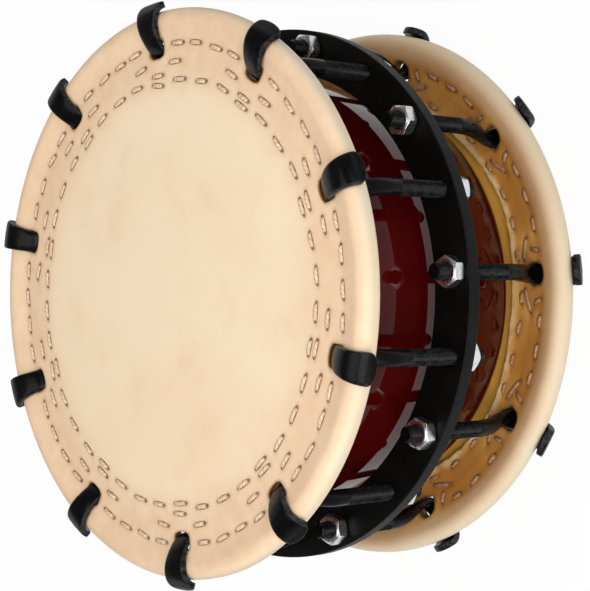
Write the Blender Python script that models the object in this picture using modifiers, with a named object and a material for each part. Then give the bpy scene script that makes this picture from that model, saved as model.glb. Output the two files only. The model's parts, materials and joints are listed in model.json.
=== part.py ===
# Shime-daiko with bolt tension: two laced hide heads on steel rings, a turned wooden body,
# a floating steel flange at mid height, and ten hook bolts with hex nuts for each head.
# Metres, +Z up, drum axis on Z. The drum stands on the claws of its bottom hooks.

import math

import bmesh
import bpy
from mathutils import Matrix, Vector

# Body, turned from wood
BODY_END_RADIUS = 0.128
BODY_BELLY_RISE = 0.0085
BODY_WALL = 0.018
BEARING_ROUND = 0.0125
BEARING_LAND = 0.003
BORE_FLARE = 0.010

# Heads: hide folded round a steel ring, with the fold laced back as a flap
HEAD_SPACING = 0.165
RING_WIRE_DIAMETER = 0.010
HIDE_THICKNESS = 0.0022
PLAYING_FACE_RISE = 0.0037
FLAP_GAP = 0.0125
FLAP_WIDTH = 0.037
FOLD_LENGTH = 0.011

# Hook bolts
HOOK_COUNT = 10
ROD_DIAMETER = 0.010
ROD_END_CHAMFER = 0.001
ROD_STUB = 0.0086
BOLT_SETBACK = 0.009
HOLE_SETBACK = 0.0152
HOLE_MARGIN = 0.00235
CRANK_LENGTH = 0.035
ROOT_SHIFT = 0.0035
ROOT_DEPTH = 0.002
CLAW_THICKNESS = 0.005
CLAW_ROOT_WIDTH = 0.0125
CLAW_TIP_WIDTH = 0.0186
CLAW_TIP_LENGTH = 0.0038
CLAW_TIP_ANGLE = math.radians(22)
CLAW_EDGE = 0.001
CLAW_RISE = 0.006
CLAW_OVERHANG = 0.0012

# Nuts and flange
NUT_ACROSS_FLATS = 0.017
NUT_HEIGHT = 0.0084
NUT_CHAMFER = 0.0012
FLANGE_THICKNESS = 0.0088
FLANGE_BELLY_GAP = 0.003
FLANGE_EDGE = 0.0115
FLANGE_CHAMFER = 0.0008
FLANGE_OFFSET = -0.0025

# Gap kept between pieces that touch
CLEARANCE = 0.0003

# Facets
SEGMENTS_PER_HOOK = 4
HOLE_SEGMENTS = 8
RIM_STEP = math.radians(30)
CAVITY_STEP = math.radians(42)
WIRE_SEGMENTS = 6

ROUND_SEGMENTS = SEGMENTS_PER_HOOK * HOOK_COUNT
HOOK_STEP = 2 * math.pi / HOOK_COUNT

# Radii and heights that follow from the sizes above
rod_radius = ROD_DIAMETER / 2
wire_radius = RING_WIRE_DIAMETER / 2
rim_radius = wire_radius + CLEARANCE + HIDE_THICKNESS
bearing_radius = BODY_END_RADIUS - BEARING_ROUND
flap_radius = bearing_radius + FLAP_GAP
ring_radius = flap_radius + FLAP_WIDTH
fold_radius = ring_radius - FOLD_LENGTH
bolt_radius = ring_radius - BOLT_SETBACK
hole_radius = ring_radius - HOLE_SETBACK
hole_diameter = CLAW_ROOT_WIDTH + 2 * HOLE_MARGIN
belly_radius = BODY_END_RADIUS + BODY_BELLY_RISE
bore_radius = BODY_END_RADIUS - BODY_WALL
flange_inner_radius = belly_radius + FLANGE_BELLY_GAP
flange_outer_radius = bolt_radius + FLANGE_EDGE

skin_inner = PLAYING_FACE_RISE - HIDE_THICKNESS
flap_outer = skin_inner - CLEARANCE
flap_inner = flap_outer - HIDE_THICKNESS
claw_arc_radius = rim_radius + CLEARANCE + CLAW_THICKNESS / 2
claw_peak = (claw_arc_radius + CLAW_THICKNESS / 2) * math.cos(RIM_STEP / 2)

bottom_ring_z = claw_peak
top_ring_z = bottom_ring_z + HEAD_SPACING
middle_z = bottom_ring_z + HEAD_SPACING / 2
flange_z = middle_z + FLANGE_OFFSET
body_half_length = HEAD_SPACING / 2 + skin_inner - CLEARANCE


for leftover in list(bpy.data.objects):
    bpy.data.objects.remove(leftover, do_unlink=True)

parts = bpy.data.collections.new("shime_daiko")
cutters = bpy.data.collections.new("cutters")
bpy.context.scene.collection.children.link(parts)
bpy.context.scene.collection.children.link(cutters)


def principled(name, colour, roughness, metallic):
    material = bpy.data.materials.new(name)
    material.use_nodes = True
    shader = material.node_tree.nodes["Principled BSDF"]
    shader.inputs["Base Color"].default_value = (*colour, 1.0)
    shader.inputs["Roughness"].default_value = roughness
    shader.inputs["Metallic"].default_value = metallic
    return material


hide_finish = principled("rawhide", (0.87, 0.72, 0.50), 0.55, 0.0)
lacquer_finish = principled("red_lacquer", (0.06, 0.001, 0.001), 0.12, 0.0)
black_finish = principled("black_steel", (0.008, 0.008, 0.009), 0.38, 0.6)
chrome_finish = principled("chrome", (0.75, 0.76, 0.77), 0.12, 1.0)
bare_steel_finish = principled("bare_steel", (0.42, 0.42, 0.43), 0.4, 1.0)


def add_part(name, mesh, finish, matrix=None):
    """A finished piece in the drum's collection."""
    piece = bpy.data.objects.new(name, mesh)
    parts.objects.link(piece)
    piece.matrix_world = matrix or Matrix()
    if not mesh.materials:
        mesh.materials.append(finish)
    return piece


def add_cutter(name, mesh, matrix=None):
    cutter = bpy.data.objects.new(name, mesh)
    cutters.objects.link(cutter)
    cutter.matrix_world = matrix or Matrix()
    cutter.hide_render = True
    cutter.display_type = "WIRE"
    return cutter


def smooth(mesh, sharp_degrees=40):
    mesh.shade_smooth()
    mesh.set_sharp_from_angle(angle=math.radians(sharp_degrees))


def cut(piece, cutter):
    modifier = piece.modifiers.new("cut", "BOOLEAN")
    modifier.operation = "DIFFERENCE"
    modifier.solver = "EXACT"
    modifier.object = cutter


def applied(piece):
    """The mesh of a piece after its modifiers."""
    bpy.context.view_layer.update()
    depsgraph = bpy.context.evaluated_depsgraph_get()
    return bpy.data.meshes.new_from_object(piece.evaluated_get(depsgraph))


def turned(piece):
    screw = piece.modifiers.new("turn", "SCREW")
    screw.axis = "Z"
    screw.angle = 2 * math.pi
    screw.steps = ROUND_SEGMENTS
    screw.render_steps = ROUND_SEGMENTS
    screw.use_merge_vertices = True
    screw.merge_threshold = 0.00001
    screw.use_smooth_shade = True


def profile_mesh(name, points, closed):
    """A polyline of (radius, height) points in the XZ plane, to be turned about Z."""
    edges = [(i, i + 1) for i in range(len(points) - 1)]
    if closed:
        edges.append((len(points) - 1, 0))
    mesh = bpy.data.meshes.new(name)
    mesh.from_pydata([(radius, 0, height) for radius, height in points], edges, [])
    return mesh


def arc(centre, radius, start, end, step):
    """Points from one angle down to another, the ends included, in even steps."""
    count = round(abs(start - end) / step)
    angles = [start + (end - start) * i / count for i in range(count + 1)]
    return [(centre[0] + radius * math.cos(a), centre[1] + radius * math.sin(a)) for a in angles]


def prisms(name, radius, height, segments, centres):
    """Upright prisms on the given (x, y) centres, whose flats lie at the given radius."""
    bm = bmesh.new()
    corner_radius = radius / math.cos(math.pi / segments)
    for x, y in centres:
        turn = Matrix.Rotation(math.atan2(y, x) + math.pi / segments, 4, "Z")
        bmesh.ops.create_cone(
            bm,
            cap_ends=True,
            segments=segments,
            radius1=corner_radius,
            radius2=corner_radius,
            depth=height,
            matrix=Matrix.Translation((x, y, 0)) @ turn,
        )
    mesh = bpy.data.meshes.new(name)
    bm.to_mesh(mesh)
    bm.free()
    return mesh


def on_circle(radius, count, first_angle=0.0):
    step = 2 * math.pi / count
    angles = [first_angle + i * step for i in range(count)]
    return [(radius * math.cos(a), radius * math.sin(a)) for a in angles]


# The two sides of the drum. Each has a frame at its steel ring, with +Z away from the drum,
# turned so that the hooks of one side stand midway between those of the other.
SIDES = {
    "top": Matrix.Translation((0, 0, top_ring_z)),
    "bottom": (
        Matrix.Translation((0, 0, bottom_ring_z))
        @ Matrix.Rotation(HOOK_STEP / 2, 4, "Z")
        @ Matrix.Rotation(math.pi, 4, "X")
    ),
}
FLANGE_FROM_RING = {"top": top_ring_z - flange_z, "bottom": flange_z - bottom_ring_z}


# Body: a barrel outside, rounded to a bearing edge at each end, with a flared bore
def body_profile():
    shoulder = body_half_length - BEARING_ROUND
    top_edge = arc((bearing_radius, shoulder), BEARING_ROUND, math.pi / 2, 0, math.pi / 4)
    barrel = []
    for share in (0.55, 0.0, -0.55):
        barrel.append((belly_radius - BODY_BELLY_RISE * share**2, shoulder * share))
    bottom_edge = [(radius, -height) for radius, height in reversed(top_edge)]
    land_radius = bearing_radius - BEARING_LAND
    flare_height = body_half_length - BORE_FLARE
    bore = [
        (land_radius, -body_half_length),
        (bore_radius, -flare_height),
        (bore_radius, flare_height),
        (land_radius, body_half_length),
    ]
    return top_edge + barrel + bottom_edge + bore


body = add_part(
    "body_shell",
    profile_mesh("body_shell", body_profile(), closed=True),
    lacquer_finish,
    Matrix.Translation((0, 0, middle_z)),
)
turned(body)


# Heads: the hide leaves the playing face, goes round the steel ring and comes back as a flap
def hide_profile():
    rim_end = math.pi / 2 + RIM_STEP / 2
    rim = arc((ring_radius, 0), rim_radius, rim_end, -rim_end, RIM_STEP)
    cavity_radius = (wire_radius + CLEARANCE) / math.cos(CAVITY_STEP / 2)
    cavity = arc((ring_radius, 0), cavity_radius, -rim_end, rim_end, CAVITY_STEP)
    skin_top = [(0, PLAYING_FACE_RISE), (fold_radius, PLAYING_FACE_RISE)]
    flap = [
        (fold_radius, flap_inner),
        (flap_radius, flap_inner),
        (flap_radius, flap_outer),
        (fold_radius + HIDE_THICKNESS / 2, flap_outer),
    ]
    skin_under = [(fold_radius, skin_inner), (0, skin_inner)]
    return skin_top + rim + flap + cavity + skin_under


def add_head(side):
    frame = SIDES[side]
    name = f"{side}_head_skin"
    hide = add_part(name, profile_mesh(name, hide_profile(), closed=False), hide_finish, frame)
    turned(hide)
    holes = prisms(
        f"{side}_hook_holes",
        hole_diameter / 2,
        4 * rim_radius,
        HOLE_SEGMENTS,
        on_circle(hole_radius, HOOK_COUNT),
    )
    cut(hide, add_cutter(holes.name, holes, frame))

    bpy.ops.mesh.primitive_torus_add(
        major_radius=ring_radius,
        minor_radius=wire_radius,
        major_segments=ROUND_SEGMENTS,
        minor_segments=WIRE_SEGMENTS,
    )
    torus = bpy.context.object
    mesh = torus.data
    bpy.data.objects.remove(torus)
    mesh.name = f"{side}_head_ring"
    smooth(mesh, 70)
    add_part(mesh.name, mesh, bare_steel_finish, frame)


for side in SIDES:
    add_head(side)


# Flange: a flat steel ring with a clearance hole for every rod of both heads
def flange_profile():
    half = FLANGE_THICKNESS / 2
    outer_edge = flange_outer_radius - FLANGE_CHAMFER
    return [
        (outer_edge, half),
        (flange_outer_radius, half - FLANGE_CHAMFER),
        (flange_outer_radius, FLANGE_CHAMFER - half),
        (outer_edge, -half),
        (flange_inner_radius, -half),
        (flange_inner_radius, half),
    ]


flange_frame = Matrix.Translation((0, 0, flange_z))
flange = add_part(
    "tension_flange",
    profile_mesh("tension_flange", flange_profile(), closed=True),
    black_finish,
    flange_frame,
)
turned(flange)
rod_holes = prisms(
    "rod_holes",
    rod_radius + CLEARANCE,
    3 * FLANGE_THICKNESS,
    HOLE_SEGMENTS,
    on_circle(bolt_radius, 2 * HOOK_COUNT),
)
cut(flange, add_cutter("rod_holes", rod_holes, flange_frame))


# Hook bolts. A hook's own frame is on its rod, at the height of the steel ring:
# X points away from the drum axis, Y along the rim, Z away from the drum.
def section(half_thickness, half_width, edge):
    """Eight corners of a rectangle with cut corners; a round rod is the regular case."""
    t, w = half_thickness, half_width
    quarter = [(t, w - edge), (t - edge, w)]
    half = quarter + [(-a, b) for a, b in reversed(quarter)]
    return half + [(-a, -b) for a, b in half]


def rod_section(radius):
    flat = radius * math.cos(math.pi / 8)
    return section(flat, flat, flat - radius * math.sin(math.pi / 8))


def between(first, second, share):
    return [tuple(Vector(a).lerp(Vector(b), share)) for a, b in zip(first, second)]


def bezier(points, share):
    """Place and direction on a cubic curve."""
    while len(points) > 2:
        points = [a.lerp(b, share) for a, b in zip(points, points[1:])]
    return points[0].lerp(points[1], share), (points[1] - points[0]).normalized()


def hook_stations(rod_end):
    """(place, direction, section) along a hook, in its own XZ plane, from rod end to claw tip."""
    up = Vector((0, 1))
    rod = rod_section(rod_radius)
    crank = hole_radius - ROOT_SHIFT - bolt_radius
    root = section(CLAW_THICKNESS / 2, CLAW_ROOT_WIDTH / 2, CLAW_EDGE)
    tip = section(CLAW_THICKNESS / 2, CLAW_TIP_WIDTH / 2, CLAW_EDGE)
    crank_end = Vector((crank, flap_inner - ROOT_DEPTH))
    crank_start = Vector((0, crank_end.y - CRANK_LENGTH))
    stations = [
        (Vector((0, rod_end)), up, rod_section(rod_radius - ROD_END_CHAMFER)),
        (Vector((0, rod_end + ROD_END_CHAMFER)), up, rod),
        (crank_start, up, rod),
    ]

    # The shank cranks inward to come up under the hole, and flattens as it goes
    lead = up * CRANK_LENGTH * 0.45
    crank_curve = [crank_start, crank_start + lead, crank_end - lead * 0.5, crank_end]
    for share in (0.35, 0.6, 0.8):
        place, direction = bezier(crank_curve, share)
        stations.append((place, direction, between(rod, root, share**2)))
    stations.append((crank_end, up, root))

    # The blade slants out through the hole, lies flat over the rim's crown and runs down it on an arc
    ring_centre = Vector((BOLT_SETBACK, 0))
    arc_centre = Vector((BOLT_SETBACK + CLAW_OVERHANG, 0))
    first = math.pi / 2 + RIM_STEP / 2
    crown = ring_centre + claw_arc_radius * Vector((math.cos(first), math.sin(first)))
    arriving = Vector((math.cos(RIM_STEP / 4), math.sin(RIM_STEP / 4)))
    reach = (crown - crank_end).x * 0.55
    rise_curve = [crank_end, crank_end + up * CLAW_RISE, crown - arriving * reach, crown]
    for share in (0.25, 0.5, 0.75):
        place, direction = bezier(rise_curve, share)
        stations.append((place, direction, between(root, tip, share * 0.55)))
    stations.append((crown, Vector((math.sin(first), -math.cos(first))), between(root, tip, 0.6)))
    for angle, width in ((first - RIM_STEP, 0.78), (first - 2 * RIM_STEP, 0.94), (CLAW_TIP_ANGLE, 1.0)):
        place = arc_centre + claw_arc_radius * Vector((math.cos(angle), math.sin(angle)))
        direction = Vector((math.sin(angle), -math.cos(angle)))
        stations.append((place, direction, between(root, tip, width)))

    # The tip rounds off across its width
    place, direction, last = stations[-1]
    for share, width in ((0.55, 0.76), (1.0, 0.32)):
        rounded = section(CLAW_THICKNESS / 2, CLAW_TIP_WIDTH / 2 * width, CLAW_EDGE)
        stations.append((place + direction * CLAW_TIP_LENGTH * share, direction, rounded))
    return stations


def loft(name, stations):
    """A closed skin through the sections, each set square to the path."""
    bm = bmesh.new()
    rings = []
    for place, direction, corners in stations:
        outward = Vector((-direction.y, direction.x))
        ring = []
        for depth, width in corners:
            at = place + outward * depth
            ring.append(bm.verts.new((at.x, width, at.y)))
        rings.append(ring)
    count = len(rings[0])
    for lower, upper in zip(rings, rings[1:]):
        for i in range(count):
            j = (i + 1) % count
            bm.faces.new((lower[i], lower[j], upper[j], upper[i]))
    bm.faces.new(rings[0])
    bm.faces.new(rings[-1])
    bmesh.ops.recalc_face_normals(bm, faces=bm.faces)
    mesh = bpy.data.meshes.new(name)
    bm.to_mesh(mesh)
    bm.free()
    return mesh


# Nut: a hexagon chamfered on both faces, bored for the rod
def nut_mesh():
    mesh = prisms("nut", NUT_ACROSS_FLATS / 2, NUT_HEIGHT, 6, [(0, 0)])
    weights = mesh.attributes.new("bevel_weight_edge", "FLOAT", "EDGE")
    for edge in mesh.edges:
        heights = [mesh.vertices[i].co.z for i in edge.vertices]
        weights.data[edge.index].value = 1.0 if heights[0] == heights[1] else 0.0
    blank = bpy.data.objects.new("nut_blank", mesh)
    cutters.objects.link(blank)
    bevel = blank.modifiers.new("chamfer", "BEVEL")
    bevel.limit_method = "WEIGHT"
    bevel.width = NUT_CHAMFER
    bevel.segments = 1
    bore_radius_of_nut = rod_radius + CLEARANCE
    bore = prisms("nut_bore", bore_radius_of_nut, 3 * NUT_HEIGHT, HOLE_SEGMENTS, [(0, 0)])
    bore_cutter = add_cutter("nut_bore", bore)
    cut(blank, bore_cutter)
    bored = applied(blank)
    bpy.data.objects.remove(blank)
    bpy.data.objects.remove(bore_cutter)
    bored.materials.clear()
    return bored


nut = nut_mesh()
nut_seat = FLANGE_THICKNESS / 2 + CLEARANCE + NUT_HEIGHT / 2

for side, frame in SIDES.items():
    flange_depth = FLANGE_FROM_RING[side]
    nut_depth = flange_depth + nut_seat
    rod_end = -(nut_depth + NUT_HEIGHT / 2 + ROD_STUB)
    hook = loft(f"{side}_hook", hook_stations(rod_end))
    smooth(hook)
    for i in range(HOOK_COUNT):
        turn = Matrix.Rotation(i * HOOK_STEP, 4, "Z")
        on_rod = frame @ turn @ Matrix.Translation((bolt_radius, 0, 0))
        add_part(f"{side}_hook_{i + 1:02d}", hook, black_finish, on_rod)
        seat = on_rod @ Matrix.Translation((0, 0, -nut_depth))
        add_part(f"{side}_nut_{i + 1:02d}", nut, chrome_finish, seat)
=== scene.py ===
import json
import math

import bmesh
import bpy
import numpy as np
from mathutils import Matrix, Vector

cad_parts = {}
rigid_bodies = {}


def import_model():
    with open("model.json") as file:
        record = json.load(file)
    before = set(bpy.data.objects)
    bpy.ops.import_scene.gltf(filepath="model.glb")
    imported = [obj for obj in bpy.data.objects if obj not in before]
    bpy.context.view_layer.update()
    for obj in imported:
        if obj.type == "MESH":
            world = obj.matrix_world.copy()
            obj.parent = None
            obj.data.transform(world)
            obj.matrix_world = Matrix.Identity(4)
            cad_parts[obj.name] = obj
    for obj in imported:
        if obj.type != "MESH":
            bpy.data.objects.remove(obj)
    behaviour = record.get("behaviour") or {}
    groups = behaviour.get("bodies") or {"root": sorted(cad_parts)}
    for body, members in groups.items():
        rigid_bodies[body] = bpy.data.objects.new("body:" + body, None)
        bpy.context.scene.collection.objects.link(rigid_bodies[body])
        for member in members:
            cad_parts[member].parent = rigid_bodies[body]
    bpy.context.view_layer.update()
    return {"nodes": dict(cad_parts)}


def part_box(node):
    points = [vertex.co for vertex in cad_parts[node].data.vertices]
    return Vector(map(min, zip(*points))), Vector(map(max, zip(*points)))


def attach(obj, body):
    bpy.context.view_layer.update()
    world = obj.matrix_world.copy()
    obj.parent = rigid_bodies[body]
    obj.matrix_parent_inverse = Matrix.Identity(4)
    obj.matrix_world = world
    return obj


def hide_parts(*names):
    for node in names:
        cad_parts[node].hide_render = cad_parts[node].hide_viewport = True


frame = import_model()
nodes = frame["nodes"]
print("frame loaded:", len(nodes), "nodes")

mm = 0.001
fullTurn = 2 * math.pi
noTris = np.zeros((0, 3), int)

# what all pieces share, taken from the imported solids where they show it
drum = {
    "hooks": 10,
    "topRing": sum(corner.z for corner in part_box("top_head_ring")) / 2,
    "bottomRing": sum(corner.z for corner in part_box("bottom_head_ring")) / 2,
    "flangeLow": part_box("tension_flange")[0].z,
    "flangeHigh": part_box("tension_flange")[1].z,
    "ringRadius": 165 * mm,
    "boltRadius": 156 * mm,
}
hookStep = fullTurn / drum["hooks"]

# each side has its own frame at the steel ring, +Z away from the drum
sideFrame = {
    "top": Matrix.Translation((0, 0, drum["topRing"])),
    "bottom": (
        Matrix.Translation((0, 0, drum["bottomRing"]))
        @ Matrix.Rotation(hookStep / 2, 4, "Z")
        @ Matrix.Rotation(math.pi, 4, "X")
    ),
}


def moved(points, matrix):
    # points turned and shifted by a 4 by 4 matrix
    m = np.array(matrix)
    return points @ m[:3, :3].T + m[:3, 3]


def smoothStep(x, low, high):
    # 0 below low, 1 above high, and a cubic with level ends between them
    t = np.clip((x - low) / (high - low), 0, 1)
    return t * t * (3 - 2 * t)


def gridQuads(rows, cols, closeRows=False):
    # every cell of a grid of points whose rows run round; closeRows joins its last row to its first
    i, j = np.meshgrid(np.arange(rows if closeRows else rows - 1), np.arange(cols), indexing="ij")
    iNext = (i + 1) % rows
    jNext = (j + 1) % cols
    cell = [i * cols + j, i * cols + jNext, iNext * cols + jNext, iNext * cols + j]
    return np.stack(cell, -1).reshape(-1, 4)


def capTris(ring, centre, flip=False):
    # a fan that closes a ring of point numbers on one centre point
    after = np.roll(ring, -1)
    middle = np.full(len(ring), centre)
    order = [ring, middle, after] if flip else [ring, after, middle]
    return np.stack(order, -1)


def makePiece(name, points, quads, tris=noTris, sharpAngle=None):
    # a smooth mesh object from whole arrays; edges past the sharp angle, in degrees, stay sharp
    mesh = bpy.data.meshes.new(name)
    corners = np.concatenate([quads.ravel(), tris.ravel()]).astype(np.int32)
    sizes = np.concatenate([np.full(len(quads), 4), np.full(len(tris), 3)])
    mesh.vertices.add(len(points))
    mesh.vertices.foreach_set("co", np.ascontiguousarray(points, np.float32).ravel())
    mesh.loops.add(len(corners))
    mesh.loops.foreach_set("vertex_index", corners)
    mesh.polygons.add(len(sizes))
    mesh.polygons.foreach_set("loop_start", (np.cumsum(sizes) - sizes).astype(np.int32))
    mesh.polygons.foreach_set("use_smooth", np.ones(len(sizes), bool))
    mesh.update(calc_edges=True)
    mesh.validate()
    if sharpAngle:
        mesh.set_sharp_from_angle(angle=math.radians(sharpAngle))
    piece = bpy.data.objects.new(name, mesh)
    bpy.context.scene.collection.objects.link(piece)
    return piece


def outwards(points, quads, tris=noTris):
    # turns the faces of a closed shape round where its signed volume is below zero
    fans = np.concatenate([quads[:, [0, 1, 2]], quads[:, [0, 2, 3]], tris])
    a, b, c = (points[fans[:, k]] for k in range(3))
    volume = np.einsum("ij,ij->i", a, np.cross(b, c)).sum()
    return (quads, tris) if volume > 0 else (quads[:, ::-1], tris[:, ::-1])


def pointValues(piece, name, values):
    # one number for each point, which the materials read
    layer = piece.data.attributes.new(name, "FLOAT", "POINT")
    layer.data.foreach_set("value", np.ascontiguousarray(values, np.float32))


def dress(piece, body, slot, *materials):
    # materials, and the body that carries the piece; the slot is not used
    for material in materials:
        piece.data.materials.append(material)
    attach(piece, body)


# shader helpers
def addNode(tree, kind, **sockets):
    # a node with some of its sockets set; an underscore stands for a space
    node = tree.nodes.new(kind)
    for key, value in sockets.items():
        node.inputs[key.replace("_", " ")].default_value = value
    return node


def combine(tree, operation, first, second):
    # a Math node on two values, each a number or another node's output
    node = tree.nodes.new("ShaderNodeMath")
    node.operation = operation
    for socket, value in ((0, first), (1, second)):
        if isinstance(value, bpy.types.NodeSocket):
            tree.links.new(value, node.inputs[socket])
        else:
            node.inputs[socket].default_value = value
    return node.outputs[0]


def newGroup(name, inputs, outputs):
    group = bpy.data.node_groups.new(name, "ShaderNodeTree")
    for socket, kind, value in inputs:
        made = group.interface.new_socket(socket, in_out="INPUT", socket_type=kind)
        made.default_value = value
    for socket, kind in outputs:
        group.interface.new_socket(socket, in_out="OUTPUT", socket_type=kind)
    return group, group.nodes.new("NodeGroupInput"), group.nodes.new("NodeGroupOutput")


def mottleGroup():
    # patches of two sizes from noise in object space, as a mask and as a height
    group, source, out = newGroup(
        "mottle",
        [
            ("Scale", "NodeSocketFloat", 40.0),
            ("Fine Scale", "NodeSocketFloat", 300.0),
            ("Low", "NodeSocketFloat", 0.4),
            ("High", "NodeSocketFloat", 0.6),
            ("Stretch", "NodeSocketVector", (1.0, 1.0, 1.0)),
        ],
        [("Mask", "NodeSocketFloat"), ("Fine", "NodeSocketFloat")],
    )
    coords = group.nodes.new("ShaderNodeTexCoord")
    stretch = group.nodes.new("ShaderNodeVectorMath")
    stretch.operation = "MULTIPLY"
    group.links.new(coords.outputs["Object"], stretch.inputs[0])
    group.links.new(source.outputs["Stretch"], stretch.inputs[1])
    large = addNode(group, "ShaderNodeTexNoise", Detail=4.0, Roughness=0.55)
    fine = addNode(group, "ShaderNodeTexNoise", Detail=3.0, Roughness=0.6)
    group.links.new(stretch.outputs[0], large.inputs["Vector"])
    group.links.new(stretch.outputs[0], fine.inputs["Vector"])
    group.links.new(source.outputs["Scale"], large.inputs["Scale"])
    group.links.new(source.outputs["Fine Scale"], fine.inputs["Scale"])
    ramp = group.nodes.new("ShaderNodeMapRange")
    ramp.interpolation_type = "SMOOTHSTEP"
    group.links.new(large.outputs["Fac"], ramp.inputs["Value"])
    group.links.new(source.outputs["Low"], ramp.inputs["From Min"])
    group.links.new(source.outputs["High"], ramp.inputs["From Max"])
    group.links.new(ramp.outputs["Result"], out.inputs["Mask"])
    group.links.new(fine.outputs["Fac"], out.inputs["Fine"])
    return group


mottle = mottleGroup()


class Finish:
    # one material: its Principled shader, and short words for wiring colours and values to it

    def __init__(self, name, **sockets):
        self.material = bpy.data.materials.new(name)
        self.material.use_nodes = True
        self.tree = self.material.node_tree
        self.shader = self.tree.nodes["Principled BSDF"]
        for key, value in sockets.items():
            self.shader.inputs[key.replace("_", " ")].default_value = value

    def patches(self, scale, fineScale, low=0.4, high=0.6, stretch=(1, 1, 1)):
        node = self.tree.nodes.new("ShaderNodeGroup")
        node.node_tree = mottle
        values = (scale, fineScale, low, high, stretch)
        for key, value in zip(("Scale", "Fine Scale", "Low", "High", "Stretch"), values):
            node.inputs[key].default_value = value
        return node.outputs["Mask"], node.outputs["Fine"]

    def attribute(self, name):
        node = self.tree.nodes.new("ShaderNodeAttribute")
        node.attribute_name = name
        return node.outputs["Fac"]

    def mix(self, factor, first, second):
        # colours mixed by a mask; a colour is a tuple or another node's output
        node = self.tree.nodes.new("ShaderNodeMix")
        node.data_type = "RGBA"
        for socket, value in ((0, factor), (6, first), (7, second)):
            if isinstance(value, bpy.types.NodeSocket):
                self.tree.links.new(value, node.inputs[socket])
            else:
                node.inputs[socket].default_value = (*value, 1.0)
        return node.outputs[2]

    def ranged(self, value, low, high, fromLow=0.0, fromHigh=1.0):
        node = addNode(self.tree, "ShaderNodeMapRange")
        limits = (fromLow, fromHigh, low, high)
        for key, number in zip(("From Min", "From Max", "To Min", "To Max"), limits):
            node.inputs[key].default_value = number
        self.tree.links.new(value, node.inputs["Value"])
        return node.outputs["Result"]

    def times(self, first, second):
        return combine(self.tree, "MULTIPLY", first, second)

    def feed(self, socket, value):
        self.tree.links.new(value, self.shader.inputs[socket])

    def bump(self, height, strength, distance):
        node = addNode(self.tree, "ShaderNodeBump", Strength=strength, Distance=distance)
        self.tree.links.new(height, node.inputs["Height"])
        self.tree.links.new(node.outputs["Normal"], self.shader.inputs["Normal"])


# finishes: a pattern is its scale, its fine scale and the two ends of its mask; a range is its two values
# and the pattern's two values between which it passes; relief is strength and depth
hideMarks = {
    "cloud": (9.0, 420.0, 0.35, 0.68),
    "fleck": (34.0, 90.0, 0.5, 0.8),
    "blotch": (26.0, 120.0, 0.4, 0.72),
    "laced": (0.6, 1.0, 0.35, 0.65),
    "cut": (0.3, 1.0, 0.38, 0.6),
    "matt": (0.42, 0.58, 0.3, 0.7),
    "flapPolish": (1.0, 0.72),
    "fleckShare": 0.3,
    "creaseShare": 0.8,
    "relief": (0.12, 0.0004),
}
laceMarks = {
    "strand": (220.0, 1500.0, 0.35, 0.65),
    "between": (0.0, 0.34, 0.2, 1.0),
    "matt": (0.4, 0.65, 0.3, 0.7),
    "fibreShare": 0.4,
    "relief": (0.5, 0.0004),
}


def hideFinish(name, tone):
    # dry rawhide: cream on the face and warmer where it is laced, amber and smoother where it is folded
    # back, and dark brown where its tone's mask says, which is partly stain and partly painted shade in
    # grooves and holes
    finish = Finish(name, IOR=1.45)
    cloud, pores = finish.patches(*hideMarks["cloud"])
    fleck, grain = finish.patches(*hideMarks["fleck"])
    blotch, streak = finish.patches(*hideMarks["blotch"])
    clouded = finish.mix(cloud, tone["cream"], tone["warm"])
    laced = finish.times(finish.attribute("laced"), finish.ranged(grain, *hideMarks["laced"]))
    band = finish.mix(laced, clouded, tone["laced"])
    face = finish.mix(finish.times(fleck, hideMarks["fleckShare"]), band, tone["fleck"])
    flapTone = finish.mix(blotch, tone["flapDark"], tone["flapLight"])
    skin = finish.mix(finish.attribute("flap"), face, flapTone)
    rimTone = finish.mix(blotch, tone["rimWarm"], tone["rim"])
    rimmed = finish.mix(finish.attribute("rim"), skin, rimTone)
    # the flap's cut edge is paler: partly the paler cut hide, partly painted glow of light shining
    # through the thin edge
    cut = finish.times(finish.attribute("edge"), finish.ranged(streak, *hideMarks["cut"]))
    edged = finish.mix(cut, rimmed, tone["cutEdgeAndGlow"])
    # dark brown in grooves and holes: partly stain, partly painted shade
    darkened = finish.times(finish.attribute(tone["darkened"]), hideMarks["creaseShare"])
    finish.feed("Base Color", finish.mix(darkened, edged, tone["crease"]))
    matt = finish.ranged(pores, *hideMarks["matt"])
    polish = finish.ranged(finish.attribute("flap"), *hideMarks["flapPolish"])
    finish.feed("Roughness", finish.times(matt, polish))
    finish.bump(pores, *hideMarks["relief"])
    return finish.material


def laceFinish(name, pale, shaded, shadeTone):
    # twisted lacing cord: painted shade in dark lines that wind round it between its plies, and painted
    # shade where it dives into the hide
    finish = Finish(name)
    strand, fibre = finish.patches(*laceMarks["strand"])
    wound = combine(finish.tree, "SINE", finish.times(finish.attribute("lay"), fullTurn), 0.0)
    between = finish.ranged(wound, *laceMarks["between"])
    cord = finish.mix(between, finish.mix(strand, pale, shaded), shadeTone)
    finish.feed("Base Color", finish.mix(finish.attribute("dive"), cord, shadeTone))
    finish.feed("Roughness", finish.ranged(fibre, *laceMarks["matt"]))
    height = combine(finish.tree, "SUBTRACT", finish.times(fibre, laceMarks["fibreShare"]), between)
    finish.bump(height, *laceMarks["relief"])
    return finish.material


def blackSteelFinish(name, look):
    # blackened steel: forging or machining streaks, and a lighter tone on its edges and thread crests,
    # which is partly wear and partly painted highlight
    finish = Finish(name, IOR=1.5, Specular_IOR_Level=look["specular"])
    patch, streak = finish.patches(*look["patches"])
    dark = finish.mix(patch, look["base"], look["glint"])
    edge = finish.times(finish.attribute("wearAndSheen"), finish.ranged(streak, *look["wearAndSheen"]))
    finish.feed("Base Color", finish.mix(edge, dark, look["wornAndSheen"]))
    finish.feed("Roughness", finish.ranged(streak, *look["rough"]))
    finish.bump(streak, *look["relief"])
    return finish.material


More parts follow.
